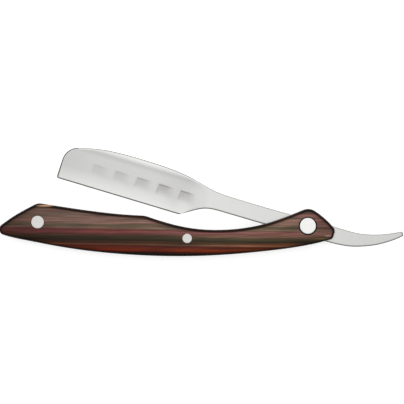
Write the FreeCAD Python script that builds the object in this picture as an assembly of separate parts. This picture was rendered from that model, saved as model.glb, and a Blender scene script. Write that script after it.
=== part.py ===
"""Straight razor: a fixed hollow-ground blade that folds between two laminated wood scales.

The razor lies on its back scale. X runs along the handle with the tail at the +X end, Y runs from
the handle's belly to its back, and Z is the thickness. The origin is on the pivot axis, in the
outer face of the back scale. The blade stands half open over the handle.
"""

import FreeCAD, Part
import math
import os

from FreeCAD import Vector

# Thickness stack, from the back scale's outer face upwards
scale_thickness = 3.0
liner_thickness = 0.8
washer_thickness = 0.3
blade_thickness = 4.5
side_play = 0.05            # free space between the tang and each washer

# Fasteners
pivot_place = (0.0, 0.0)
middle_place = (-59.4, -6.16)
tail_place = (-133.0, 1.87)
pivot_head = 7.94           # head diameters
middle_head = 4.76
tail_head = 6.35
pivot_seat = 8.9            # the pivot head sits in a wider counterbore
pivot_barrel_diameter = 5.0
bolt_sleeve_share = 0.6     # sleeve diameter as a share of the head's
stud_share = 0.56           # stud diameter as a share of the sleeve's
stud_end_gap = 0.4          # between the stud's end and the bottom of the sleeve's bore
head_depth = 1.6
head_gap = 0.02             # radial gap of a flush head in its counterbore
running_gap = 0.05          # radial gap of a turning fit
stop_bush_diameter = 4.8
washer_diameter = 9.5
spanner_hole = 1.0          # two blind holes that a pin spanner fits
spanner_spacing = 4.6

# Handle
edge_rounding = 0.9         # along the outer edge of each scale
tip_rounding = 2.8
hump_rounding = 5.0
waist_rounding = 8.0
pivot_end_rounding = 6.0
butt_rounding = 3.2
butt_low_rounding = 2.0

# Blade
hollow_radius = 85.0        # radius of the wheel that ground each face
edge_half_thickness = 0.12
hollow_length = 60.0        # at full depth, from the nose, along the cutting edge
hollow_run_out = 22.0       # the further length over which the hollow rises out of the face
hollow_corner_radius = 100.0    # the wheel's rounded corner, which makes that run-out
overrun = 10.0              # how far a cutter stands clear of the blank
nose_clearance = 0.8        # between the sweep of the nose and the tail spacer
tang_boss_radius = 5.8      # hidden round of the tang about the pivot
blade_edge_break = 0.7      # rounding of the spine, shank and tail
nose_low_rounding = 1.0
nose_rounding = 8.0
heel_rounding = 1.6
tail_tip_thickness = 2.0
tail_taper_start = 16.0     # x where the tail starts to thin
tail_end = 47.3
tail_lowest = -10.3

# Scallops, ground into both faces of the blade in a row along the cutting edge
scallop_count = 5
scallop_pitch = 11.2
scallop_first = 18.8        # distance of the first one from the nose
scallop_from_edge = 8.1
scallop_size = (6.6, 7.0)
scallop_corner = 1.6
scallop_depth = 0.38        # along its upper edge; it runs out at its lower one

# Levels that follow from the stack
gap = blade_thickness + 2 * (washer_thickness + side_play)
back_liner_z = scale_thickness
gap_z = back_liner_z + liner_thickness
front_liner_z = gap_z + gap
front_scale_z = front_liner_z + liner_thickness
total_thickness = front_scale_z + scale_thickness
mid_z = total_thickness / 2
blade_z = mid_z - blade_thickness / 2

# Places on the outlines
handle_tip = (-155.0, -2.5)
handle_hump = (-133.0, 11.3)
handle_waist = (-80.4, 5.05)
handle_top = (0.8, 9.1)
handle_butt_top = (13.6, -2.0)
handle_butt_low = (12.2, -6.4)
nose_low = (-124.0, 23.8)
nose_high = (-119.2, 38.4)
heel = (-63.6, 5.7)
tail_tip_high = (46.9, -2.7)
tail_tip_low = (47.3, -4.9)


def spline(points):
    """A smooth edge through the points."""
    curve = Part.BSplineCurve()
    curve.interpolate([Vector(x, y, 0) for x, y in points])
    return curve.toShape()


def line(start, end):
    return Part.LineSegment(Vector(*start, 0), Vector(*end, 0)).toShape()


def plate(edges, z, thickness):
    """A flat solid whose outline is the closed chain of edges."""
    face = Part.Face(Part.Wire(edges))
    face.translate(Vector(0, 0, z))
    return face.extrude(Vector(0, 0, thickness))


def upright_edges(solid):
    """The solid's straight edges along Z."""
    return [e for e in solid.Edges
            if e.BoundBox.ZLength > 0.1 and max(e.BoundBox.XLength, e.BoundBox.YLength) < 1e-4]


def round_corners(solid, corners):
    """Round the upright edge nearest to each (place, radius)."""
    for (x, y), radius in corners:
        nearest = min(upright_edges(solid),
                      key=lambda e: math.hypot(e.CenterOfMass.x - x, e.CenterOfMass.y - y))
        solid = solid.makeFillet(radius, [nearest])
    return solid


def rod(place, diameter, z_low, z_high):
    """An upright cylinder."""
    return Part.makeCylinder(diameter / 2, z_high - z_low, Vector(*place, z_low))


def handle_plate(z, thickness):
    """The handle's side outline as a plate."""
    edges = [
        spline([handle_tip, (-149.6, 1.5), (-145.4, 4.45), (-139.5, 7.9), handle_hump]),
        spline([handle_hump, (-121.8, 9.55), (-107.0, 7.4), (-92.2, 5.75), handle_waist]),
        spline([handle_waist, (-68.6, 1.3), (-57.0, -1.2), (-45.0, -2.0), (-33.1, -1.3),
                (-21.0, 1.0), (-9.5, 4.9), handle_top]),
        spline([handle_top, (6.5, 5.2), (10.8, 1.35), handle_butt_top]),
        line(handle_butt_top, handle_butt_low),
        spline([handle_butt_low, (5.3, -8.3), (-18.4, -12.15), (-45.0, -14.45), (-65.0, -14.95),
                (-92.2, -13.85), (-121.8, -10.3), (-136.8, -7.45), (-146.7, -5.35), handle_tip]),
    ]
    return round_corners(plate(edges, z, thickness), [
        (handle_tip, tip_rounding), (handle_hump, hump_rounding), (handle_waist, waist_rounding),
        (handle_top, pivot_end_rounding), (handle_butt_top, butt_rounding),
        (handle_butt_low, butt_low_rounding)])


def scale(z, outer_up):
    """One wood scale: rounded along its outer edge, drilled, with a counterbore for each head."""
    solid = handle_plate(z, scale_thickness)
    outer_z = z + scale_thickness if outer_up else z
    rim = [e for e in solid.Edges if e.BoundBox.ZLength < 1e-4
           and abs(e.CenterOfMass.z - outer_z) < 1e-3]
    solid = solid.makeFillet(edge_rounding, rim)
    seat_low = outer_z - head_depth if outer_up else outer_z
    for place, head, seat, shaft in fasteners:
        solid = solid.cut(rod(place, seat, seat_low, seat_low + head_depth))
        solid = solid.cut(rod(place, shaft + 2 * head_gap, z, z + scale_thickness))
    return solid


def liner(z):
    """One thin metal liner, drilled for the three fasteners."""
    solid = handle_plate(z, liner_thickness)
    for place, head, seat, shaft in fasteners:
        solid = solid.cut(rod(place, shaft + 2 * head_gap, z, z + liner_thickness))
    return solid


def tail_spacer():
    """The wedge between the liners at the nose end, hollowed on the circle that the nose sweeps."""
    sweep_radius = math.hypot(*nose_low) + nose_clearance
    solid = handle_plate(gap_z, gap).cut(rod(pivot_place, 2 * sweep_radius, gap_z, gap_z + gap))
    return solid.cut(rod(tail_place, tail_head * bolt_sleeve_share + 2 * head_gap, gap_z, gap_z + gap))


def sleeve_half(place, head, shaft):
    """Front half of a two-piece bolt: a flush head and a sleeve that reaches the back head."""
    solid = rod(place, head, total_thickness - head_depth, total_thickness)
    solid = solid.fuse(rod(place, shaft, head_depth, total_thickness - head_depth))
    bore = shaft * stud_share + 2 * running_gap
    return solid.cut(rod(place, bore, head_depth, front_scale_z + stud_end_gap)).removeSplitter()


def stud_half(place, head, shaft, spanner=False):
    """Back half of a two-piece bolt: a flush head and a stud inside the front half's sleeve."""
    solid = rod(place, head, 0, head_depth)
    solid = solid.fuse(rod(place, shaft * stud_share, head_depth, front_scale_z))
    if spanner:
        for side in (-1, 1):
            hole_place = (place[0] + side * spanner_spacing / 2, place[1])
            solid = solid.cut(rod(hole_place, spanner_hole, 0, head_depth / 2))
    return solid.removeSplitter()


def ring(place, outside, inside, z, thickness):
    """A washer or a short tube."""
    return rod(place, outside, z, z + thickness).cut(rod(place, inside, z, z + thickness))


def blade_blank():
    """The blade, shank, tang and tail as one plate, before grinding."""
    edges = [
        line(nose_low, nose_high),
        spline([nose_high, (-110.0, 38.4), (-101.0, 37.6), (-90.3, 35.3), (-78.5, 31.9),
                (-66.6, 27.9), (-56.8, 23.5), (-48.5, 18.7), (-42.5, 15.9), (-37.1, 14.1),
                (-27.2, 11.1), (-17.4, 8.2)]),
        line((-17.4, 8.2), (11.0, 0.25)),
        spline([(11.0, 0.25), (14.1, -0.65), (19.1, -2.1), (24.0, -3.4), (28.9, -4.1),
                (33.8, -4.3), (38.8, -4.0), (43.0, -3.4), tail_tip_high]),
        line(tail_tip_high, tail_tip_low),
        spline([tail_tip_low, (44.7, -6.2), (39.7, -8.0), (33.8, -9.5), (27.9, -10.2),
                (22.0, -10.3), (16.1, -9.5), (10.2, -8.1)]),
        line((10.2, -8.1), (-25.3, 1.9)),
        spline([(-25.3, 1.9), (-33.1, 4.2), (-41.0, 6.5), (-46.9, 8.1), (-50.5, 8.5),
                (-54.0, 8.1), heel]),
        line(heel, nose_low),
    ]
    solid = round_corners(plate(edges, blade_z, blade_thickness),
                          [(nose_low, nose_low_rounding), (nose_high, nose_rounding),
                           (heel, heel_rounding)])
    for side in (-1, 1):
        solid = solid.cut(tail_wedge(side))
    sides = [face for face in solid.Faces if abs(face.normalAt(0, 0).z) > 0.9]
    rim = [e for face in sides for e in face.Edges]
    solid = solid.makeFillet(blade_edge_break, rim)
    boss = rod(pivot_place, 2 * tang_boss_radius, blade_z, blade_z + blade_thickness)
    return solid.fuse(boss).removeSplitter()


def edge_frame():
    """Unit vectors along the cutting edge, towards the heel, and square to it, towards the spine."""
    along = Vector(heel[0] - nose_low[0], heel[1] - nose_low[1], 0).normalize()
    return along, Vector(-along.y, along.x, 0)


def wheel_radius(run):
    """The grinding wheel's radius at a distance past its full-depth rim."""
    return hollow_radius - hollow_corner_radius + math.sqrt(hollow_corner_radius ** 2 - run ** 2)


def face_wheel(side):
    """The wheel that hollows one face; its axis is parallel to the cutting edge."""
    along, up = edge_frame()
    half_way = hollow_length + hollow_run_out / 2
    end = hollow_length + hollow_run_out
    profile = Part.Wire([
        line((-overrun, 0), (-overrun, hollow_radius)),
        line((-overrun, hollow_radius), (hollow_length, hollow_radius)),
        Part.Arc(Vector(hollow_length, hollow_radius, 0),
                 Vector(half_way, wheel_radius(hollow_run_out / 2), 0),
                 Vector(end, wheel_radius(hollow_run_out), 0)).toShape(),
        line((end, wheel_radius(hollow_run_out)), (end, 0)),
        line((end, 0), (-overrun, 0)),
    ])
    wheel = Part.Face(profile).revolve(Vector(0, 0, 0), Vector(1, 0, 0))
    centre = Vector(*nose_low, mid_z + side * (edge_half_thickness + hollow_radius))
    wheel.Placement = FreeCAD.Placement(centre, FreeCAD.Rotation(along, up, Vector(0, 0, 1), "XYZ"))
    return wheel


def hollow_half_thickness(height):
    """Half the blade's thickness at a height above the cutting edge."""
    return edge_half_thickness + hollow_radius - math.sqrt(hollow_radius ** 2 - height ** 2)


def scallop_cutter():
    """A rounded block above the blade's middle plane, whose tilted floor is deepest under its top
    edge and runs out of the hollow face at its lower edge."""
    width, height = scallop_size
    top_half = hollow_half_thickness(scallop_from_edge + height / 2)
    low_half = hollow_half_thickness(scallop_from_edge - height / 2)
    tilt = math.degrees(math.atan2(top_half - low_half - scallop_depth, height))
    block = Part.makeBox(width, height, blade_thickness, Vector(-width / 2, -height / 2, 0))
    block = block.makeFillet(scallop_corner, upright_edges(block))
    block.Placement = FreeCAD.Placement(Vector(0, 0, top_half - scallop_depth),
                                        FreeCAD.Rotation(Vector(1, 0, 0), tilt),
                                        Vector(0, height / 2, 0))
    return block


def face_scallops(side):
    """The scallop cutters of one face, in their row along the cutting edge."""
    along, up = edge_frame()
    cutter = scallop_cutter()
    if side < 0:
        cutter = cutter.mirror(Vector(0, 0, 0), Vector(0, 0, 1))
    turn = FreeCAD.Rotation(along, up, Vector(0, 0, 1), "XYZ")
    for index in range(scallop_count):
        shift = scallop_first + index * scallop_pitch
        place = Vector(*nose_low, mid_z) + along * shift + up * scallop_from_edge
        yield cutter.transformGeometry(FreeCAD.Placement(place, turn).toMatrix())


def tail_wedge(side):
    """What is planed off one side of the tail so that it thins towards its tip."""
    reach = tail_end + overrun
    drop = (blade_thickness - tail_tip_thickness) / 2 * (reach - tail_taper_start) \
        / (tail_end - tail_taper_start)
    face_z = mid_z + side * blade_thickness / 2
    low_y = tail_lowest - overrun
    corners = [Vector(tail_taper_start, low_y, face_z), Vector(reach, low_y, face_z - side * drop),
               Vector(reach, low_y, face_z + side), Vector(tail_taper_start, low_y, face_z + side)]
    width = 2 * overrun - tail_lowest
    return Part.Face(Part.makePolygon(corners + corners[:1])).extrude(Vector(0, width, 0))


def blade():
    """The blade ground from its blank, with the pivot hole."""
    solid = blade_blank()
    for side in (-1, 1):
        solid = solid.cut(face_wheel(side))
        for cutter in face_scallops(side):
            solid = solid.cut(cutter)
    hole = pivot_barrel_diameter + 2 * running_gap
    return solid.cut(rod(pivot_place, hole, blade_z, blade_z + blade_thickness))


# place, head diameter, counterbore diameter, shaft diameter
fasteners = [
    (pivot_place, pivot_head, pivot_seat, pivot_barrel_diameter),
    (middle_place, middle_head, middle_head + 2 * head_gap, middle_head * bolt_sleeve_share),
    (tail_place, tail_head, tail_head + 2 * head_gap, tail_head * bolt_sleeve_share),
]
pivot, middle, tail = fasteners

parts = {
    "blade": blade(),
    "back_scale": scale(0, outer_up=False),
    "front_scale": scale(front_scale_z, outer_up=True),
    "back_liner": liner(back_liner_z),
    "front_liner": liner(front_liner_z),
    "tail_spacer": tail_spacer(),
    "stop_bush": ring(middle_place, stop_bush_diameter, middle[3] + 2 * head_gap, gap_z, gap),
    "pivot_barrel": sleeve_half(pivot_place, pivot_head, pivot[3]),
    "pivot_screw": stud_half(pivot_place, pivot_head, pivot[3], spanner=True),
    "middle_bolt_front": sleeve_half(middle_place, middle_head, middle[3]),
    "middle_bolt_back": stud_half(middle_place, middle_head, middle[3]),
    "tail_bolt_front": sleeve_half(tail_place, tail_head, tail[3]),
    "tail_bolt_back": stud_half(tail_place, tail_head, tail[3]),
    "back_washer": ring(pivot_place, washer_diameter, pivot[3] + 2 * running_gap,
                        gap_z, washer_thickness),
    "front_washer": ring(pivot_place, washer_diameter, pivot[3] + 2 * running_gap,
                         gap_z + gap - washer_thickness, washer_thickness),
}

os.makedirs("parts", exist_ok=True)
for name, solid in parts.items():
    print(f"{name}: valid {solid.isValid()}, solids {len(solid.Solids)}, {solid.Volume:.1f} mm3, "
          f"x {solid.BoundBox.XMin:.2f}..{solid.BoundBox.XMax:.2f}, "
          f"y {solid.BoundBox.YMin:.2f}..{solid.BoundBox.YMax:.2f}, "
          f"z {solid.BoundBox.ZMin:.2f}..{solid.BoundBox.ZMax:.2f}")
    solid.exportStep(f"parts/{name}.step")
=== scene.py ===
import math

import bmesh
import bpy
from mathutils import Matrix, Vector
from mathutils.bvhtree import BVHTree


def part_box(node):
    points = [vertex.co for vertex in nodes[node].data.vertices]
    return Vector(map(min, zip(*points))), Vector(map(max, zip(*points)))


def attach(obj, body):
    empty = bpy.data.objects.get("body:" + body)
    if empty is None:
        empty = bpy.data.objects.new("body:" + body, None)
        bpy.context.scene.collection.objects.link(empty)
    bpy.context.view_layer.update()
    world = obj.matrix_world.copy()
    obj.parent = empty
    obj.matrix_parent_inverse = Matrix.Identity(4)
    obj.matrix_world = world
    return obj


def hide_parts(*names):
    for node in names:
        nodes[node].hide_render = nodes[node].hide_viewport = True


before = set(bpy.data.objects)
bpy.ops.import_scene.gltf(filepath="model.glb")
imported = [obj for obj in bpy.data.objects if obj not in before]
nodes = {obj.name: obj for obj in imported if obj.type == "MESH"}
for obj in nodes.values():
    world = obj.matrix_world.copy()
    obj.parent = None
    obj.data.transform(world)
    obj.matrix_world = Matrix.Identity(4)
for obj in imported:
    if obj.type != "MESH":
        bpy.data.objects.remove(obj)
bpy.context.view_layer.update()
mm = 0.001
scene = bpy.context.scene
scene.view_settings.view_transform = "Standard"
joinWithin = 0.001 * mm      # corners closer than this become one
wallLean = 0.3               # a wall's normal rises or falls by less than this
cutClear = 2 * mm            # how far a cutter stands out of the solid
bumpDepth = 0.02 * mm
noiseRange = (0.3, 0.7)      # where nearly all the values of a noise lie


def middleOf(node):
    low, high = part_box(node)
    return (low + high) / 2


pivotPlace = middleOf("pivot_barrel")
middlePlace = middleOf("middle_bolt_front")
tailPlace = middleOf("tail_bolt_front")
middleZ = middleOf("blade").z      # the blade lies halfway between the two scales
print("frame loaded")


def wallsOf(node, level, away=()):
    # the upright faces of a part that cross a level, clear of the drilled holes
    mesh = nodes[node].data
    kept = []
    for face in mesh.polygons:
        corners = [mesh.vertices[i].co for i in face.vertices]
        heights = [c.z for c in corners]
        near = any((face.center.xy - place.xy).length < reach for place, reach in away)
        upright = abs(face.normal.z) < wallLean
        if upright and min(heights) <= level <= max(heights) and not near:
            kept.append(tuple(face.vertices))
    return BVHTree.FromPolygons([v.co for v in mesh.vertices], kept)


def spread(low, high, step, lowSteps, highSteps):
    # places from low to high, a step apart, with finer steps of their own at each end
    start = [low + s for s in lowSteps]
    end = [high - s for s in reversed(highSteps)]
    inner = end[0] - start[-1]
    count = max(1, round(inner / step))
    return start + [start[-1] + inner * k / count for k in range(1, count)] + end


def rowPlaces(length, rimSteps, count, room=2.6):
    # distances across a part, close together at both rims; a part narrower than
    # room times a rim has its rims squeezed
    rim = [s * min(1.0, length / (room * rimSteps[-1])) for s in rimSteps]
    return spread(0.0, length, (length - 2 * rim[-1]) / count, rim, rim)


def drapedGrid(bm, grid):
    # a grid pulled onto the rows of places in grid[column][row]
    columns, rows = len(grid) - 1, len(grid[0]) - 1
    sheet = bmesh.ops.create_grid(bm, x_segments=columns, y_segments=rows, size=0.5)
    for vert in sheet["verts"]:
        column = round((vert.co.x + 0.5) * columns)
        row = round((vert.co.y + 0.5) * rows)
        vert.co = grid[column][row]
    bmesh.ops.remove_doubles(bm, verts=bm.verts, dist=joinWithin)


def wallDown(bm, level):
    # carries the open rim straight to a level and returns the new rim
    rim = [e for e in bm.edges if e.is_boundary]
    grown = bmesh.ops.extrude_edge_only(bm, edges=rim)["geom"]
    for vert in (g for g in grown if isinstance(g, bmesh.types.BMVert)):
        vert.co.z = level
    return [g for g in grown if isinstance(g, bmesh.types.BMEdge) and g.is_boundary]


def finished(bm, name, body, material, replaced, sharp):
    # turns a bmesh into a piece that rides on its body
    bmesh.ops.recalc_face_normals(bm, faces=bm.faces)
    mesh = bpy.data.meshes.new(name)
    bm.to_mesh(mesh)
    bm.free()
    mesh.shade_smooth()
    mesh.set_sharp_from_angle(angle=math.radians(sharp))
    piece = bpy.data.objects.new(name, mesh)
    scene.collection.objects.link(piece)
    mesh.materials.append(material)
    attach(piece, body)
    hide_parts(*replaced)
    return piece


def spun(bm, profile, place, steps):
    # a turned solid: the profile is (radius, height) from the axis out and back to the axis
    verts = [bm.verts.new((place.x + r, place.y, z)) for r, z in profile]
    edges = [bm.edges.new(pair) for pair in zip(verts, verts[1:])]
    bmesh.ops.spin(bm, geom=verts + edges, cent=place, axis=(0, 0, 1), angle=2 * math.pi,
                   steps=steps, use_merge=True)
    bmesh.ops.remove_doubles(bm, verts=bm.verts, dist=joinWithin)


def cutAway(bm, profiles, steps):
    # bores turned holes through a closed solid
    target = bpy.data.objects.new("cutTarget", bpy.data.meshes.new("cutTarget"))
    bmesh.ops.recalc_face_normals(bm, faces=bm.faces)
    bm.to_mesh(target.data)
    bm.clear()
    cutters = []
    scene.collection.objects.link(target)
    for place, profile in profiles:
        tool = bmesh.new()
        spun(tool, profile, place, steps)
        bmesh.ops.recalc_face_normals(tool, faces=tool.faces)
        cutter = bpy.data.objects.new("cutter", bpy.data.meshes.new("cutter"))
        tool.to_mesh(cutter.data)
        tool.free()
        scene.collection.objects.link(cutter)
        cutters.append(cutter)
        cut = target.modifiers.new("cut", "BOOLEAN")
        cut.operation, cut.object, cut.solver = "DIFFERENCE", cutter, "EXACT"
    shaped = target.evaluated_get(bpy.context.evaluated_depsgraph_get())
    bm.from_mesh(shaped.to_mesh())
    for helper in [target] + cutters:
        bpy.data.objects.remove(helper)


def smoothStep(value):
    value = min(1.0, max(0.0, value))
    return value * value * (3 - 2 * value)


def newGroup(name, inputs, outputs):
    group = bpy.data.node_groups.new(name, "ShaderNodeTree")
    for label, kind, value in inputs:
        socket = group.interface.new_socket(label, in_out="INPUT", socket_type=kind)
        if value is not None:
            socket.default_value = value
    for label in outputs:
        group.interface.new_socket(label, in_out="OUTPUT", socket_type="NodeSocketFloat")
    return group, group.nodes.new("NodeGroupInput"), group.nodes.new("NodeGroupOutput")


def addNode(tree, kind, inputs=None, **settings):
    # one node with its settings; each input takes a value or a link
    node = tree.nodes.new(kind)
    for key, value in settings.items():
        setattr(node, key, value)
    for key, value in (inputs or {}).items():
        if isinstance(value, bpy.types.NodeSocket):
            tree.links.new(value, node.inputs[key])
        else:
            node.inputs[key].default_value = value
    return node


def useGroup(tree, group, inputs):
    return addNode(tree, "ShaderNodeGroup", inputs, node_tree=group).outputs


def calc(tree, operation, *values):
    return addNode(tree, "ShaderNodeMath", dict(enumerate(values)), operation=operation).outputs[0]


def remap(tree, value, low, high, start=0.0, end=1.0, soft=False):
    # carries low..high to start..end and holds level beyond them
    limits = {"Value": value, "From Min": low, "From Max": high, "To Min": start, "To Max": end}
    curve = "SMOOTHSTEP" if soft else "LINEAR"
    return addNode(tree, "ShaderNodeMapRange", limits, interpolation_type=curve).outputs[0]


def blend(tree, mode, amount, first, second):
    mixed = addNode(tree, "ShaderNodeMix", data_type="RGBA", blend_type=mode)
    for index, value in ((0, amount), (6, first), (7, second)):
        if isinstance(value, bpy.types.NodeSocket):
            tree.links.new(value, mixed.inputs[index])
        else:
            mixed.inputs[index].default_value = value if index == 0 else (*value, 1)
    return mixed.outputs[2]


def colourBand(tree, value, stops):
    node = addNode(tree, "ShaderNodeValToRGB", {0: value})
    band = node.color_ramp.elements
    while len(band) < len(stops):
        band.new(0.5)
    for element, (place, colour) in zip(band, stops):
        element.position = place
        element.color = (*colour, 1)
    return node.outputs[0]


def alongBand(tree, x, stops):
    # colours at places along the razor, in mm
    first, last = stops[0][0], stops[-1][0]
    return colourBand(tree, remap(tree, x, first * mm, last * mm), [
        ((place - first) / (last - first), colour) for place, colour in stops])


def tone(red, green, blue):
    # screen colour to scene colour
    def linear(value):
        value /= 255
        return value / 12.92 if value <= 0.04045 else ((value + 0.055) / 1.055) ** 2.4
    return linear(red), linear(green), linear(blue)


def grindGroup():
    # fine scratches along Y of the vector it is given: a shade and a height
    group, start, end = newGroup("grindLines", [
        ("Vector", "NodeSocketVector", None), ("Across", "NodeSocketFloat", 9000.0),
        ("Along", "NodeSocketFloat", 120.0)], ["Shade", "Height"])
    inputs = start.outputs
    part = addNode(group, "ShaderNodeSeparateXYZ", {0: inputs["Vector"]}).outputs
    stretched = addNode(group, "ShaderNodeCombineXYZ", {
        "X": calc(group, "MULTIPLY", part["X"], inputs["Across"]),
        "Y": calc(group, "MULTIPLY", part["Y"], inputs["Along"]),
        "Z": calc(group, "MULTIPLY", part["Z"], inputs["Along"])}).outputs[0]
    fine = addNode(group, "ShaderNodeTexNoise", {
        "Vector": stretched, "Scale": 1.0, "Detail": 3.0, "Roughness": 0.6}).outputs[0]
    broad = addNode(group, "ShaderNodeTexNoise", {
        "Vector": inputs["Vector"], "Scale": 55.0, "Detail": 2.0}).outputs[0]
    shade = calc(group, "MULTIPLY_ADD", fine, 0.6, calc(group, "MULTIPLY", broad, 0.4))
    group.links.new(shade, end.inputs["Shade"])
    group.links.new(fine, end.inputs["Height"])
    return group


def rimGroup():
    # 0 on the flat of the razor, 1 where the surface has turned away; Tilt favours one side. The
    # mask places painted shade on the rims
    group, start, end = newGroup("rimTurn", [
        ("Start", "NodeSocketFloat", 0.9), ("End", "NodeSocketFloat", 0.4),
        ("Tilt", "NodeSocketFloat", 0.0)], ["Mask"])
    inputs = start.outputs
    normal = addNode(group, "ShaderNodeNewGeometry").outputs["Normal"]
    part = addNode(group, "ShaderNodeSeparateXYZ", {0: normal}).outputs
    flat = calc(group, "ABSOLUTE", part["Z"])
    level = calc(group, "MULTIPLY_ADD", part["Y"], inputs["Tilt"], flat)
    group.links.new(remap(group, level, inputs["Start"], inputs["End"]), end.inputs["Mask"])
    return group


grindLines = grindGroup()
rimTurn = rimGroup()


def newMaterial(name):
    material = bpy.data.materials.new(name)
    material.use_nodes = True
    tree = material.node_tree
    tree.nodes.clear()
    out = tree.nodes.new("ShaderNodeOutputMaterial")
    shader = tree.nodes.new("ShaderNodeBsdfPrincipled")
    tree.links.new(shader.outputs[0], out.inputs[0])
    return material, tree, shader


# painted shade: steel rims that turn away from the light are darkened to each finish's rim colour,
# leaned to one side by its tilt
steelRimShade = {"Start": 0.93, "End": 0.5}


def steelMaterial(name, finish, shades=None):
    # ground metal whose turned-away rims get painted shade; shades can tone the colour further from
    # place to place
    material, tree, shader = newMaterial(name)
    place = addNode(tree, "ShaderNodeTexCoord").outputs["Object"]
    turn = (0, 0, math.radians(finish["turn"]))
    turned = addNode(tree, "ShaderNodeMapping", {"Vector": place, "Rotation": turn}).outputs[0]
    lines = useGroup(tree, grindLines, {
        "Vector": turned, "Across": finish["across"], "Along": finish["along"]})
    rim = useGroup(tree, rimTurn, {**steelRimShade, "Tilt": finish["rimShadeTilt"]})["Mask"]
    scratch = remap(tree, lines["Shade"], *noiseRange)
    colour = blend(tree, "MIX", scratch, finish["dark"], finish["light"])
    # painted shade on the turned-away rims
    colour = blend(tree, "MULTIPLY", rim, colour, finish["rim"])
    if shades:
        colour = shades(tree, place, colour)
    tree.links.new(colour, shader.inputs["Base Color"])
    rough = remap(tree, lines["Shade"], *noiseRange, *finish["rough"])
    tree.links.new(rough, shader.inputs["Roughness"])
    bump = addNode(tree, "ShaderNodeBump", {
        "Height": lines["Height"], "Strength": finish["bump"], "Distance": bumpDepth})
    tree.links.new(bump.outputs[0], shader.inputs["Normal"])
    shader.inputs["Metallic"].default_value = 1.0
    return material


# the pivot steel is set lighter than the bolt steel as painted light, for the pivot head lying in
# brighter light
pivotFinish = {"turn": 40, "across": 7000, "along": 900, "dark": (0.68, 0.675, 0.66),
               "light": (0.74, 0.735, 0.72), "rim": (0.55, 0.55, 0.55), "rimShadeTilt": 0.0,
               "rough": (0.16, 0.26), "bump": 0.15}
boltFinish = {"turn": 25, "across": 7000, "along": 900, "dark": (0.52, 0.51, 0.49),
              "light": (0.61, 0.61, 0.585), "rim": (0.7, 0.7, 0.7), "rimShadeTilt": 0.0,
              "rough": (0.20, 0.30), "bump": 0.15}
linerFinish = {"turn": 90, "across": 8000, "along": 120, "dark": (0.42, 0.42, 0.41),
               "light": (0.55, 0.55, 0.54), "rim": (0.8, 0.8, 0.8), "rimShadeTilt": 0.0,
               "rough": (0.28, 0.42), "bump": 0.3}
bronzeFinish = {"turn": 0, "across": 6000, "along": 400, "dark": (0.42, 0.24, 0.09),
                "light": (0.58, 0.36, 0.15), "rim": (0.7, 0.7, 0.7), "rimShadeTilt": 0.0,
                "rough": (0.25, 0.4), "bump": 0.2}
pivotSteel = steelMaterial("polishedPivotSteel", pivotFinish)
boltSteel = steelMaterial("polishedBoltSteel", boltFinish)
linerSteel = steelMaterial("brushedLinerSteel", linerFinish)
bronze = steelMaterial("washerBronze", bronzeFinish)

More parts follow.
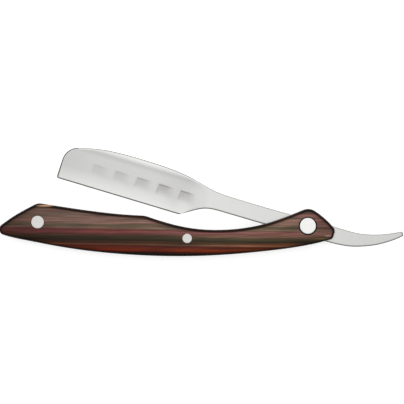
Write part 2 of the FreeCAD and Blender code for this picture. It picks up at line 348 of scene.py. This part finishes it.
veneerTones = {
    "ebony": (40, 31, 14), "bogOak": (62, 52, 32), "walnut": (88, 57, 44), "teak": (76, 44, 20),
    "oxblood": (84, 33, 16), "mahogany": (100, 54, 34), "amber": (116, 58, 20),
    "maple": (114, 82, 67), "rosewood": (124, 66, 66), "plum": (102, 54, 50),
    "olive": (88, 78, 60), "taupe": (118, 97, 84), "blush": (144, 112, 104),
}
woodLayers = {
    # the glued veneers from the belly to the back: middle height in mm, wood; above the belly their
    # colours are partly the veneers' own and partly painted sheen, a grey veil of reflected light
    "veneers": [
        (-15.2, "ebony"), (-12.7, "ebony"), (-11.9, "oxblood"), (-11.1, "amber"),
        (-10.3, "mahogany"), (-9.7, "oxblood"), (-9.2, "mahogany"), (-8.7, "maple"),
        (-8.2, "teak"), (-7.5, "teak"), (-6.6, "ebony"), (-5.5, "bogOak"), (-4.5, "walnut"),
        (-3.4, "plum"), (-2.5, "rosewood"), (-1.5, "plum"), (-0.6, "taupe"), (0.4, "olive"),
        (1.4, "taupe"), (2.6, "blush"), (3.6, "taupe"), (4.6, "blush"), (5.6, "taupe"),
        (6.6, "blush"), (7.6, "taupe"), (8.8, "taupe"), (10.2, "teak")],
    # the veneers climb towards the nose, and wander up and down by some mm
    "lean": 0.0153, "leanFrom": -112, "wander": 0.45, "sway": (1, 6, 3), "swayScale": 24.0,
    # streaks of the fibres and broader figure: how fine they are, and how they shade the wood
    "fibres": (60, 1500, 220), "figure": (16, 700, 90),
    "fibreShades": [(0.30, (0.50, 0.48, 0.46)), (0.5, (1.04, 1.02, 1.0)),
                    (0.70, (1.6, 1.52, 1.46))],
    "figureShades": [(0.32, (0.74, 0.80, 0.70)), (0.5, (1.0, 1.0, 1.0)),
                     (0.68, (1.32, 1.04, 1.02))],
    # how each zone changes along the handle: place in mm, tint; above the belly the tints also carry
    # painted sheen
    "tints": {
        "middle": [(-155, (0.45, 0.28, 0.24)), (-142, (0.52, 0.34, 0.28)), (-127, (0.6, 0.5, 0.38)),
                   (-112, (0.77, 0.63, 0.5)), (-92, (0.83, 0.82, 0.7)), (-73, (1.0, 1.1, 0.92)),
                   (-53, (1.26, 1.6, 2.0)), (-33, (2.0, 2.4, 2.7)), (-14, (1.7, 1.75, 1.95)),
                   (-4, (1.1, 1.1, 1.15)), (12, (1.0, 1.0, 1.0))],
        "belly": [(-155, (0.8, 0.5, 0.45)), (-112, (0.8, 0.5, 0.4)), (-92, (1.0, 0.5, 0.2)),
                  (-73, (0.9, 0.45, 0.4)), (-53, (1.3, 0.8, 0.5)), (-33, (1.1, 0.7, 0.25)),
                  (-8, (1.1, 0.8, 0.35))],
        "core": [(-155, (0.6, 0.49, 0.42)), (-142, (0.66, 0.53, 0.48)), (-127, (0.71, 0.66, 0.62)),
                 (-112, (0.82, 0.86, 0.84)), (-92, (1.1, 1.22, 1.17)), (-73, (1.05, 1.45, 1.4)),
                 (-53, (1.9, 2.7, 2.6)), (-33, (2.4, 3.7, 3.5)), (-14, (1.6, 2.35, 2.05)),
                 (-4, (1.7, 2.8, 2.4)), (12, (1.15, 2.2, 1.85))],
        "back": [(-155, (0.51, 0.43, 0.39)), (-142, (0.64, 0.54, 0.49)), (-127, (1.02, 1.0, 1.0)),
                 (-112, (1.03, 1.06, 1.06)), (-92, (1.3, 1.26, 1.26)), (-73, (1.55, 1.5, 1.58)),
                 (-14, (1.65, 1.6, 1.48)), (-4, (1.05, 1.0, 1.0)), (12, (0.95, 0.6, 0.66))],
    },
    # where each zone takes over from the middle: start and full height in mm
    "zones": {"belly": (-8.4, -9.2), "core": (-5.0, -4.4), "back": (-1.4, -0.6)},
    # painted highlights where light catches the rim at the hump and near the pivot end: place and
    # reach in mm, colour
    "rimHighlights": [((-129.3, 9.95), (5.0, 0.6), (214, 164, 126)),
               ((9.9, -4.9), (2.0, 0.35), (190, 160, 138))], "highlightCore": 0.4,
    # painted shade: the rim is darkened where it turns away from the light, and the same tone
    # darkens the pivot's counterbore
    "rim": {"Start": 0.982, "End": 0.88, "Tilt": -0.16}, "paintedShadeTone": (0.07, 0.045, 0.03),
    "seatRadius": 4.65, "seatDepth": 0.45,
    "shine": 0.1, "lacquer": 0.12, "rimLacquer": 0.04, "lacquerRough": 0.15,
    "rough": (0.36, 0.52), "bump": 0.12,
}


def woodMaterial(name, layers, faceHeight):
    material, tree, shader = newMaterial(name)
    place = addNode(tree, "ShaderNodeTexCoord").outputs["Object"]
    part = addNode(tree, "ShaderNodeSeparateXYZ", {0: place}).outputs
    stretched = addNode(tree, "ShaderNodeMapping", {"Vector": place, "Scale": layers["sway"]})
    sway = addNode(tree, "ShaderNodeTexNoise", {
        "Vector": stretched.outputs[0], "Scale": layers["swayScale"], "Detail": 3.0}).outputs[0]
    waver = remap(tree, sway, 0.0, 1.0, -layers["wander"] * mm, layers["wander"] * mm)
    along = calc(tree, "SUBTRACT", part["X"], layers["leanFrom"] * mm)
    leaned = calc(tree, "MULTIPLY_ADD", along, layers["lean"], part["Y"])
    height = calc(tree, "ADD", leaned, waver)
    low, high = layers["veneers"][0][0] * mm, layers["veneers"][-1][0] * mm
    colour = colourBand(tree, remap(tree, height, low, high), [
        ((level * mm - low) / (high - low), tone(*veneerTones[wood]))
        for level, wood in layers["veneers"]])
    tint = alongBand(tree, part["X"], layers["tints"]["middle"])
    for zone, (start, full) in layers["zones"].items():
        inside = remap(tree, height, start * mm, full * mm)
        tint = blend(tree, "MIX", inside, tint, alongBand(tree, part["X"], layers["tints"][zone]))
    colour = blend(tree, "MULTIPLY", 1.0, colour, tint)
    fibres = addNode(tree, "ShaderNodeMapping", {"Vector": place, "Scale": layers["fibres"]})
    streak = addNode(tree, "ShaderNodeTexNoise", {
        "Vector": fibres.outputs[0], "Scale": 1.0, "Detail": 4.0, "Roughness": 0.65}).outputs[0]
    colour = blend(tree, "MULTIPLY", 1.0, colour, colourBand(tree, streak, layers["fibreShades"]))
    figure = addNode(tree, "ShaderNodeMapping", {"Vector": place, "Scale": layers["figure"]})
    patch = addNode(tree, "ShaderNodeTexNoise", {
        "Vector": figure.outputs[0], "Scale": 1.0, "Detail": 2.0}).outputs[0]
    colour = blend(tree, "MULTIPLY", 1.0, colour, colourBand(tree, patch, layers["figureShades"]))
    # painted shade on the rim where it turns away from the light
    rim = useGroup(tree, rimTurn, layers["rim"])["Mask"]
    colour = blend(tree, "MULTIPLY", rim, colour, layers["paintedShadeTone"])
    # painted highlights standing in for light caught on the rim
    for middle, reach, wood in layers["rimHighlights"]:
        perReach = (1 / (reach[0] * mm), 1 / (reach[1] * mm), 0)
        aside = addNode(tree, "ShaderNodeVectorMath", {
            0: place, 1: (middle[0] * mm, middle[1] * mm, 0)}, operation="SUBTRACT").outputs[0]
        scaled = addNode(tree, "ShaderNodeVectorMath", {0: aside, 1: perReach}, operation="MULTIPLY")
        away = addNode(tree, "ShaderNodeVectorMath", {0: scaled.outputs[0]}, operation="LENGTH")
        highlight = remap(tree, away.outputs["Value"], 1.0, layers["highlightCore"])
        colour = blend(tree, "MIX", highlight, colour, tone(*wood))
    lacquer = remap(tree, rim, 0.0, 1.0, layers["lacquer"], layers["rimLacquer"])
    tree.links.new(lacquer, shader.inputs["Coat Weight"])
    # painted shade down in the pivot's counterbore
    middle = calc(tree, "ABSOLUTE", calc(tree, "SUBTRACT", part["Z"], middleZ))
    sunk = calc(tree, "LESS_THAN", middle, faceHeight - layers["seatDepth"] * mm)
    flat = addNode(tree, "ShaderNodeVectorMath", {0: place, 1: (1, 1, 0)}, operation="MULTIPLY")
    reach = addNode(tree, "ShaderNodeVectorMath", {0: flat.outputs[0]}, operation="LENGTH")
    near = calc(tree, "LESS_THAN", reach.outputs["Value"], layers["seatRadius"] * mm)
    colour = blend(tree, "MULTIPLY", calc(tree, "MULTIPLY", sunk, near), colour, layers["paintedShadeTone"])
    tree.links.new(colour, shader.inputs["Base Color"])
    tree.links.new(remap(tree, streak, *noiseRange, *layers["rough"]), shader.inputs["Roughness"])
    bump = addNode(tree, "ShaderNodeBump", {
        "Height": streak, "Strength": layers["bump"], "Distance": bumpDepth})
    tree.links.new(bump.outputs[0], shader.inputs["Normal"])
    shader.inputs["Specular IOR Level"].default_value = layers["shine"]
    shader.inputs["Coat Roughness"].default_value = layers["lacquerRough"]
    return material


scaleWood = woodMaterial("laminatedWood", woodLayers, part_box("front_scale")[1].z - middleZ)
print("materials made")

# each two-piece bolt: its front and back halves, place, shaft radii and the gap round its head
bolts = {
    "pivot": {"front": "pivot_barrel", "back": "pivot_screw", "place": pivotPlace,
              "sleeve": 2.5, "stud": 1.4, "headGap": 0.48, "steel": pivotSteel},
    "middle": {"front": "middle_bolt_front", "back": "middle_bolt_back", "place": middlePlace,
               "sleeve": 1.428, "stud": 0.8, "headGap": 0.02, "steel": boltSteel},
    "tail": {"front": "tail_bolt_front", "back": "tail_bolt_back", "place": tailPlace,
             "sleeve": 1.905, "stud": 1.067, "headGap": 0.02, "steel": boltSteel},
}
headDepth = 1.6
scaleShape = {
    "crownWidth": 5.5, "crownDrop": 0.8,       # the face falls away towards its rim
    "edgeRound": 1.4,
    "rimSteps": [0, 0.05, 0.12, 0.22, 0.36, 0.54, 0.76, 1.05, 1.5, 2.1],
    "endSteps": [0.02, 0.08, 0.2, 0.4, 0.7, 1.05, 1.5, 2.0],
    "columnStep": 0.8, "rows": 26, "lipChamfer": 0.14, "lipLift": 0.02,
    "boreSteps": 96, "shaftGap": 0.02, "keepOff": 1,      # mm round each hole left out of the walls
}


def inMetres(steps):
    return [s * mm for s in steps]


def faceDrop(distance, shape):
    # how far the scale's face has fallen at a distance from its outline
    crown = shape["crownDrop"] * max(0.0, 1 - distance / shape["crownWidth"]) ** 2
    short = max(0.0, shape["edgeRound"] - distance)
    return crown + shape["edgeRound"] - math.sqrt(shape["edgeRound"] ** 2 - short ** 2)


def boreProfile(bolt, side, outerZ, innerZ, shape):
    # a counterbore with a softened lip, and the shaft's hole under it
    low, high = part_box(bolt[side])
    out = 1 if outerZ > innerZ else -1
    seat = (high.x - low.x) / 2 + bolt["headGap"] * mm
    seatZ = outerZ - out * headDepth * mm
    lip = shape["lipChamfer"] * mm
    shaft = (bolt["sleeve"] + shape["shaftGap"]) * mm
    over, under = outerZ + out * cutClear, innerZ - out * cutClear
    return [(0, over), (seat + lip * 3, over), (seat + lip, outerZ + out * shape["lipLift"] * mm),
            (seat, outerZ - out * lip), (seat, seatZ), (shaft, seatZ), (shaft, under), (0, under)]


def woodScale(side):
    shape = scaleShape
    low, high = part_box(f"{side}_scale")
    out = 1 if side == "front" else -1
    outerZ, innerZ = (high.z, low.z) if out > 0 else (low.z, high.z)
    linerMiddle = middleOf(f"{side}_liner").z
    walls = wallsOf(f"{side}_liner", linerMiddle,
                    [(bolt["place"], (bolt["sleeve"] + shape["keepOff"]) * mm)
                     for bolt in bolts.values()])
    rimSteps, endSteps = inMetres(shape["rimSteps"]), inMetres(shape["endSteps"])
    reach = high.y - low.y + 10 * mm      # well outside the handle
    grid = []
    for x in spread(low.x, high.x, shape["columnStep"] * mm, endSteps, endSteps):
        start = Vector((x, low.y - reach, linerMiddle))
        bottom = walls.ray_cast(start, Vector((0, 1, 0)))[0]
        top = walls.ray_cast(start + Vector((0, 3 * reach, 0)), Vector((0, -1, 0)))[0]
        column = []
        for step in rowPlaces(top.y - bottom.y, rimSteps, shape["rows"]):
            place = bottom + Vector((0, step, 0))
            distance = walls.find_nearest(place)[3] / mm
            place.z = outerZ - out * faceDrop(distance, shape) * mm
            column.append(place)
        grid.append(column)
    bm = bmesh.new()
    drapedGrid(bm, grid)
    inner = wallDown(bm, innerZ)
    bmesh.ops.holes_fill(bm, edges=inner, sides=0)
    cutAway(bm, [(Vector((*bolt["place"].xy, 0)), boreProfile(bolt, side, outerZ, innerZ, shape))
                 for bolt in bolts.values()], shape["boreSteps"])
    finished(bm, f"{side}WoodScale", "handle", scaleWood, [f"{side}_scale"], 35)


woodScale("front")
woodScale("back")
print("wood scales made")

bladeShape = {
    "edgeStart": (-124.0, 23.8), "edgeEnd": (-63.6, 5.7),     # of the cutting edge
    "hollowRadius": 85.0, "hollowLength": 62.5, "hollowRunOut": 18.0,
    "edgeHalf": 0.12, "tipHalf": 0.03, "honedBevel": 0.5, "pastHeel": 0.5, "sharpHalf": 0.15,
    "edgeRound": 0.7, "thickest": 0.3, "wornArris": 0.25, "tailHalf": 1.0, "taperStart": 16.0,
    "rimSteps": [0, 0.05, 0.12, 0.22, 0.34, 0.5, 0.7, 1.0],
    "endSteps": [0.02, 0.06, 0.14, 0.28, 0.5, 0.8],
    "faceStep": 0.34, "shankStep": 0.7, "rows": 54,
    "pivotHole": 2.55, "keepOff": 4, "holeSteps": 64,
}
scallopShape = {
    "first": 18.8, "pitch": 11.2, "fromEdge": 8.1, "width": 6.9, "height": 7.4, "wall": 0.5,
    "slope": 3.6, "depths": [0.07, 0.09, 0.13, 0.19, 0.16],
    "wallShare": 0.35, "reach": 1.25, "fadeFrom": 0.45, "fadeOver": 0.8,
}
bladeFinish = {"turn": 16.7, "across": 9000, "along": 140, "dark": (0.74, 0.74, 0.725),
               "light": (0.82, 0.82, 0.80), "rim": (0.45, 0.45, 0.44), "rimShadeTilt": 0.3,
               "rough": (0.30, 0.42), "bump": 0.35}
bladeTones = {
    # darker towards the nose and along the shank and tail than on the middle of the ground faces:
    # place in mm, share of the colour
    "along": [(-124, 0.92), (-108, 1.0), (-90, 1.04), (-76, 1.06), (-60, 0.98), (-50, 0.86),
              (-20, 0.82), (48, 0.75)],
    # painted shade: the hollow is darker halfway up than beside the edge, as if it took less light
    # there: height in mm, share
    "up": [(0, 0.90), (3, 0.87), (7.5, 0.79), (11, 0.86), (15.5, 1.0), (19, 0.93)],
    "hollowEnds": (-66, -53),
    # painted shade: a dark line along the cutting edge and round the nose corner
    "edgeShadeTone": (0.22, 0.22, 0.21), "edgeShadeWidth": 0.6,
    # rounded corners that the painted dark edge follows: centre, way up (1 for the edge side),
    # radius
    "toe": ((1.0, 1.0), 1.0, 1.0), "noseCorner": ((8.3, 9.4), -1.0, 8.0), "noseWidth": 0.45,
    "noseEnds": 6.3, "pastHeel": 1.0,
    # the scoops are darkened with painted shade, more so from the first to the last, with a dark lip
    # of painted shade along the top;
    # the pairs say in mm where each side starts and where it is at its full tone
    "scoop": (0.85, 0.84, 0.82), "scoopFirst": 0.35, "scoopLast": 1.0, "strongest": 3.5,
    "noseSide": (0.0, 0.9), "heelSide": (9.6, 4.2), "upperSide": (0.0, 0.6), "edgeSide": (7.6, 3.4),
    "lip": (0.74, 0.74, 0.72), "lipTop": (0.0, 0.35), "lipFoot": (1.1, 0.55),
    # painted shade along the blade's upper arris, as far as spineEnds
    "spine": (0.5, 0.5, 0.49), "spineEnds": -56,
    "spineRim": {"Start": 0.80, "End": 0.45, "Tilt": -0.3},
}
edgeStart = Vector((*bladeShape["edgeStart"], 0)) * mm
edgeEnd = Vector((*bladeShape["edgeEnd"], 0)) * mm
edgeLength = (edgeEnd - edgeStart).length / mm
alongEdge = (edgeEnd - edgeStart).normalized()
acrossBlade = Vector((-alongEdge.y, alongEdge.x, 0))
bladeLow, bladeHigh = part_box("blade")
fullHalf = (bladeHigh.z - bladeLow.z) / 2 / mm
tailEnd = bladeHigh.x / mm


def bladePlaceGroup():
    # distance along the cutting edge from the nose, and height above the edge, in mm
    group, start, end = newGroup("bladePlace", [("Vector", "NodeSocketVector", None)],
                                 ["Along", "Height"])
    fromNose = addNode(group, "ShaderNodeVectorMath", {
        0: start.outputs["Vector"], 1: edgeStart}, operation="SUBTRACT").outputs[0]
    for label, axis in (("Along", alongEdge), ("Height", acrossBlade)):
        measured = addNode(group, "ShaderNodeVectorMath", {
            0: fromNose, 1: axis / mm}, operation="DOT_PRODUCT").outputs["Value"]
        group.links.new(measured, end.inputs[label])
    return group


bladePlace = bladePlaceGroup()


def pastCorner(tree, spot, corner, width):
    # 1 in a border of this width along a rounded corner and the two sides that meet in it
    (along, height), turn, radius = corner
    inward = calc(tree, "SUBTRACT", height, spot["Height"])
    aside = addNode(tree, "ShaderNodeCombineXYZ", {
        "X": calc(tree, "SUBTRACT", along, spot["Along"]),
        "Y": calc(tree, "MULTIPLY", inward, turn)}).outputs[0]
    ahead = addNode(tree, "ShaderNodeVectorMath", {0: aside, 1: (0, 0, 0)}, operation="MAXIMUM")
    reach = addNode(tree, "ShaderNodeVectorMath", {0: ahead.outputs[0]}, operation="LENGTH")
    return calc(tree, "GREATER_THAN", reach.outputs["Value"], radius - width)


def bladeShades(tree, place, colour):
    tones, scallop = bladeTones, scallopShape
    x = addNode(tree, "ShaderNodeSeparateXYZ", {0: place}).outputs["X"]
    darkerAlong = alongBand(tree, x, [(at, (share,) * 3) for at, share in tones["along"]])
    colour = blend(tree, "MULTIPLY", 1.0, colour, darkerAlong)
    # painted shade along the blade's upper arris
    upper = useGroup(tree, rimTurn, tones["spineRim"])["Mask"]
    spine = calc(tree, "MULTIPLY", upper, calc(tree, "LESS_THAN", x, tones["spineEnds"] * mm))
    colour = blend(tree, "MULTIPLY", spine, colour, tones["spine"])
    spot = useGroup(tree, bladePlace, {"Vector": place})
    along, height = spot["Along"], spot["Height"]
    rise = calc(tree, "MULTIPLY", height, mm)
    # painted shade halfway up the hollow
    hollowShade = alongBand(tree, rise, [(at, (share,) * 3) for at, share in tones["up"]])
    inHollow = remap(tree, x, *inMetres(tones["hollowEnds"]), 1.0, 0.0)
    colour = blend(tree, "MULTIPLY", inHollow, colour, hollowShade)
    left = scallop["first"] - scallop["width"] / 2
    cell = calc(tree, "DIVIDE", calc(tree, "SUBTRACT", along, left), scallop["pitch"])
    across = calc(tree, "MULTIPLY", calc(tree, "FRACT", cell), scallop["pitch"])
    top = scallop["fromEdge"] + scallop["height"] / 2
    down = calc(tree, "SUBTRACT", top, height)
    scoop = remap(tree, along, left, left + tones["strongest"] * scallop["pitch"],
                  tones["scoopFirst"], tones["scoopLast"])
    for mask in (remap(tree, across, *tones["noseSide"], soft=True),
                 remap(tree, across, *tones["heelSide"], soft=True),
                 calc(tree, "GREATER_THAN", cell, 0.0),
                 calc(tree, "LESS_THAN", cell, float(len(scallop["depths"])))):
        scoop = calc(tree, "MULTIPLY", scoop, mask)
    # painted shade: a dark lip under each scoop's top rim
    lip = calc(tree, "MULTIPLY", remap(tree, down, *tones["lipTop"]),
               remap(tree, down, *tones["lipFoot"]))
    lip = calc(tree, "MULTIPLY", calc(tree, "POWER", scoop, 2.0), lip)
    # painted shade over each scoop's floor
    floor = calc(tree, "MULTIPLY", remap(tree, down, *tones["upperSide"], soft=True),
                 remap(tree, down, *tones["edgeSide"], soft=True))
    colour = blend(tree, "MULTIPLY", calc(tree, "MULTIPLY", scoop, floor), colour, tones["scoop"])
    colour = blend(tree, "MULTIPLY", lip, colour, tones["lip"])
    # painted shade as a dark line along the cutting edge and the nose
    onEdge = calc(tree, "LESS_THAN", along, edgeLength + tones["pastHeel"])
    edgeShadeMask = calc(tree, "MULTIPLY", onEdge, pastCorner(tree, spot, tones["toe"], tones["edgeShadeWidth"]))
    onNose = calc(tree, "LESS_THAN", along, tones["noseEnds"])
    nose = calc(tree, "MULTIPLY", onNose,
                pastCorner(tree, spot, tones["noseCorner"], tones["noseWidth"]))
    return blend(tree, "MULTIPLY", calc(tree, "MAXIMUM", edgeShadeMask, nose), colour, tones["edgeShadeTone"])


bladeSteel = steelMaterial("satinBladeSteel", bladeFinish, bladeShades)


def scallopDepth(along, height):
    # a soft scoop: it drops under its upper and nose-side rims and runs out towards the edge
    shape = scallopShape
    for index, depth in enumerate(shape["depths"]):
        left = shape["first"] + index * shape["pitch"] - shape["width"] / 2
        top = shape["fromEdge"] + shape["height"] / 2
        a, b = along - left, top - height
        if 0 < a < shape["width"] * shape["reach"] and 0 < b < shape["height"]:
            drop = shape["wallShare"] * smoothStep(b / shape["wall"])
            drop += (1 - shape["wallShare"]) * smoothStep(b / shape["slope"])
            side = smoothStep(a / (2 * shape["wall"]))
            runOut = 1 - smoothStep((b - shape["slope"]) / (shape["height"] - shape["slope"]))
            fade = 1 - smoothStep((a / shape["width"] - shape["fadeFrom"]) / shape["fadeOver"])
            return depth * drop * side * runOut * fade
    return 0.0


def hollowHalf(along, height):
    # half thickness left by the grinding wheel, which lifts off slowly past the heel
    shape = bladeShape
    radius = shape["hollowRadius"]
    hollow = shape["edgeHalf"] + radius - math.sqrt(radius ** 2 - min(height, radius) ** 2)
    clear = fullHalf + shape["thickest"]
    lift = smoothStep((along - shape["hollowLength"]) / shape["hollowRunOut"])
    return hollow + max(0.0, clear - hollow) * lift


def bladeHalf(place, along, height, distance):
    # half thickness of the finished blade at a place on its side view, in mm
    shape = bladeShape
    taper = (place.x / mm - shape["taperStart"]) / (tailEnd - shape["taperStart"])
    full = fullHalf - (fullHalf - shape["tailHalf"]) * max(0.0, taper)
    hollow = hollowHalf(along, height)
    half = min(full, hollow)
    worn = max(0.0, shape["wornArris"] - abs(full - hollow))
    half -= worn ** 2 + scallopDepth(along, height)
    edge = shape["edgeRound"]
    if distance < edge:
        share = min(1.0, max(0.0, (half - shape["sharpHalf"]) / edge))
        half -= share * (edge - math.sqrt(edge ** 2 - (edge - distance) ** 2))
    if height < shape["honedBevel"] and along < edgeLength + shape["pastHeel"]:
        bevel = max(0.0, height) / shape["honedBevel"]
        half = shape["tipHalf"] + (half - shape["tipHalf"]) * bevel
    return max(half, shape["tipHalf"])


def razorBlade():
    shape = bladeShape
    walls = wallsOf("blade", middleZ, [(pivotPlace, shape["keepOff"] * mm)])
    places = [v.co - edgeStart for v in nodes["blade"].data.vertices]
    first = min(p.dot(alongEdge) for p in places)
    last = max(p.dot(alongEdge) for p in places)
    shoulder = (shape["hollowLength"] + shape["hollowRunOut"]) * mm
    rimSteps, endSteps = inMetres(shape["rimSteps"]), inMetres(shape["endSteps"])
    outside = acrossBlade * 0.1      # well off the blade
    stations = spread(first, shoulder, shape["faceStep"] * mm, endSteps, [0.0])
    stations += spread(shoulder, last, shape["shankStep"] * mm, [0.0], endSteps)[1:]
    grid = []
    for station in stations:
        start = edgeStart + alongEdge * station + Vector((0, 0, middleZ))
        bottom = walls.ray_cast(start - outside, acrossBlade)[0]
        top = walls.ray_cast(start + outside, -acrossBlade)[0]
        column = []
        for step in rowPlaces((top - bottom).length, rimSteps, shape["rows"]):
            place = bottom + acrossBlade * step
            height = (place - edgeStart).dot(acrossBlade) / mm
            distance = walls.find_nearest(place)[3] / mm
            place.z += bladeHalf(place, station / mm, height, distance) * mm
            column.append(place)
        grid.append(column)
    bm = bmesh.new()
    drapedGrid(bm, grid)
    wallDown(bm, middleZ)
    middle = Matrix.Translation((0, 0, -middleZ))
    bmesh.ops.mirror(bm, geom=bm.verts[:] + bm.edges[:] + bm.faces[:], matrix=middle,
                     merge_dist=2 * joinWithin, axis="Z")
    radius = shape["pivotHole"] * mm
    below, above = bladeLow.z - cutClear, bladeHigh.z + cutClear
    hole = [(0, below), (radius, below), (radius, above), (0, above)]
    cutAway(bm, [(Vector((*pivotPlace.xy, 0)), hole)], shape["holeSteps"])
    finished(bm, "razorBlade", "blade", bladeSteel, ["blade"], 32)


razorBlade()
print("blade made")

# dishCurve: share of the radius, share of the dish's depth
boltShape = {"chamfer": 0.16, "softened": 0.3, "dish": 0.05,
             "dishCurve": [(0, 1), (0.45, 0.6), (0.8, 0.1)], "steps": 96}
spannerHoles = {"radius": 0.5, "depth": 0.8, "fromMiddle": 2.3, "steps": 32}


def turnedBolt(name, bolt, side, holes=None):
    # one half of a bolt: a flush head, slightly dished, and its shaft
    shape = boltShape
    low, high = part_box(bolt[side])
    radius = (high.x - low.x) / 2
    shaft = bolt["sleeve" if side == "front" else "stud"] * mm
    top, bottom, out = (high.z, low.z, 1) if side == "front" else (low.z, high.z, -1)
    chamfer, dish = shape["chamfer"] * mm, shape["dish"] * mm
    neck = top - out * headDepth * mm
    soft = chamfer * shape["softened"]
    profile = [(radius * r, top - out * dish * d) for r, d in shape["dishCurve"]]
    profile += [(radius - chamfer, top), (radius - soft, top - out * soft),
                (radius, top - out * chamfer), (radius, neck), (shaft, neck),
                (shaft, bottom + out * chamfer), (shaft - chamfer, bottom), (0, bottom)]
    bm = bmesh.new()
    spun(bm, profile, Vector((*bolt["place"].xy, 0)), shape["steps"])
    if holes:
        wide, floor = holes["radius"] * mm, top - out * holes["depth"] * mm
        drilled = [(0, floor), (wide, floor), (wide, top + out * mm), (0, top + out * mm)]
        aside = Vector((holes["fromMiddle"] * mm, 0, 0))
        middle = Vector((*bolt["place"].xy, 0))
        cutAway(bm, [(middle - aside, drilled), (middle + aside, drilled)], holes["steps"])
    finished(bm, name, "handle", bolt["steel"], [bolt[side]], 25)


turnedBolt("pivotBarrelTurned", bolts["pivot"], "front")
turnedBolt("pivotScrewTurned", bolts["pivot"], "back", spannerHoles)
turnedBolt("middleBoltFrontTurned", bolts["middle"], "front")
turnedBolt("middleBoltBackTurned", bolts["middle"], "back")
turnedBolt("tailBoltFrontTurned", bolts["tail"], "front")
turnedBolt("tailBoltBackTurned", bolts["tail"], "back")
print("bolts made")

for node, material in {"front_liner": linerSteel, "back_liner": linerSteel,
                       "tail_spacer": linerSteel, "stop_bush": boltSteel,
                       "front_washer": bronze, "back_washer": bronze}.items():
    nodes[node].data.materials.clear()
    nodes[node].data.materials.append(material)
print("carried-over parts finished")

studio = {
    "floorSize": 6.0, "floorTone": 0.86, "floorRough": 0.9, "floorGlow": 0.66,
    # brightness of the sky against its height, which leans towards the razor's back
    "sky": [(0.0, 0.04), (0.30, 0.08), (0.58, 0.45), (0.80, 0.74), (1.0, 0.78)], "skyLean": 0.33,
    "overhead": {"power": 3.6, "size": 1.5, "place": (-0.05, 0.32, 1.5), "aim": (-0.05, 0, 0)},
    # width and middle of the view in mm, at the level of the handle's face
    "viewWidth": 198.97, "viewMiddle": (-52.1, 11.77), "viewLevel": 10.5,
    "lens": 300, "sensor": 36, "clipEnd": 20,
}


def makeFloor(settings):
    bm = bmesh.new()
    bmesh.ops.create_grid(bm, x_segments=8, y_segments=8, size=settings["floorSize"] / 2)
    mesh = bpy.data.meshes.new("paleFloor")
    bm.to_mesh(mesh)
    bm.free()
    floor = bpy.data.objects.new("paleFloor", mesh)
    scene.collection.objects.link(floor)
    material, tree, shader = newMaterial("paleFloorPaper")
    level = settings["floorTone"]
    shader.inputs["Base Color"].default_value = (level, level, level, 1)
    shader.inputs["Roughness"].default_value = settings["floorRough"]
    shader.inputs["Emission Color"].default_value = (1, 1, 1, 1)
    shader.inputs["Emission Strength"].default_value = settings["floorGlow"]
    mesh.materials.append(material)


def makeSky(settings):
    world = bpy.data.worlds.new("studio")
    scene.world = world
    world.use_nodes = True
    tree = world.node_tree
    tree.nodes.clear()
    out = tree.nodes.new("ShaderNodeOutputWorld")
    direction = addNode(tree, "ShaderNodeTexCoord").outputs["Generated"]
    lean = (0, settings["skyLean"], 1)
    height = addNode(tree, "ShaderNodeVectorMath", {0: direction, 1: lean},
                     operation="DOT_PRODUCT").outputs["Value"]
    sky = colourBand(tree, height, [(z, (v, v, v)) for z, v in settings["sky"]])
    light = addNode(tree, "ShaderNodeBackground", {"Color": sky, "Strength": 1.0})
    tree.links.new(light.outputs[0], out.inputs[0])


def makeSoftbox(name, power, size, place, aim):
    data = bpy.data.lights.new(name, "AREA")
    data.shape, data.size, data.energy = "SQUARE", size, power
    lamp = bpy.data.objects.new(name, data)
    scene.collection.objects.link(lamp)
    lamp.location = place
    lamp.rotation_euler = (Vector(aim) - Vector(place)).to_track_quat("-Z", "Y").to_euler()
    lamp.visible_camera = False


def makeCamera(settings):
    data = bpy.data.cameras.new("camera")
    data.lens, data.sensor_width = settings["lens"], settings["sensor"]
    camera = bpy.data.objects.new("camera", data)
    scene.collection.objects.link(camera)
    distance = settings["viewWidth"] * mm * settings["lens"] / data.sensor_width
    x, y = settings["viewMiddle"]
    camera.location = (x * mm, y * mm, settings["viewLevel"] * mm + distance)
    data.clip_end = settings["clipEnd"]
    scene.camera = camera


makeFloor(studio)
makeSky(studio)
makeSoftbox("overheadSoftbox", **studio["overhead"])
makeCamera(studio)
print("studio made")
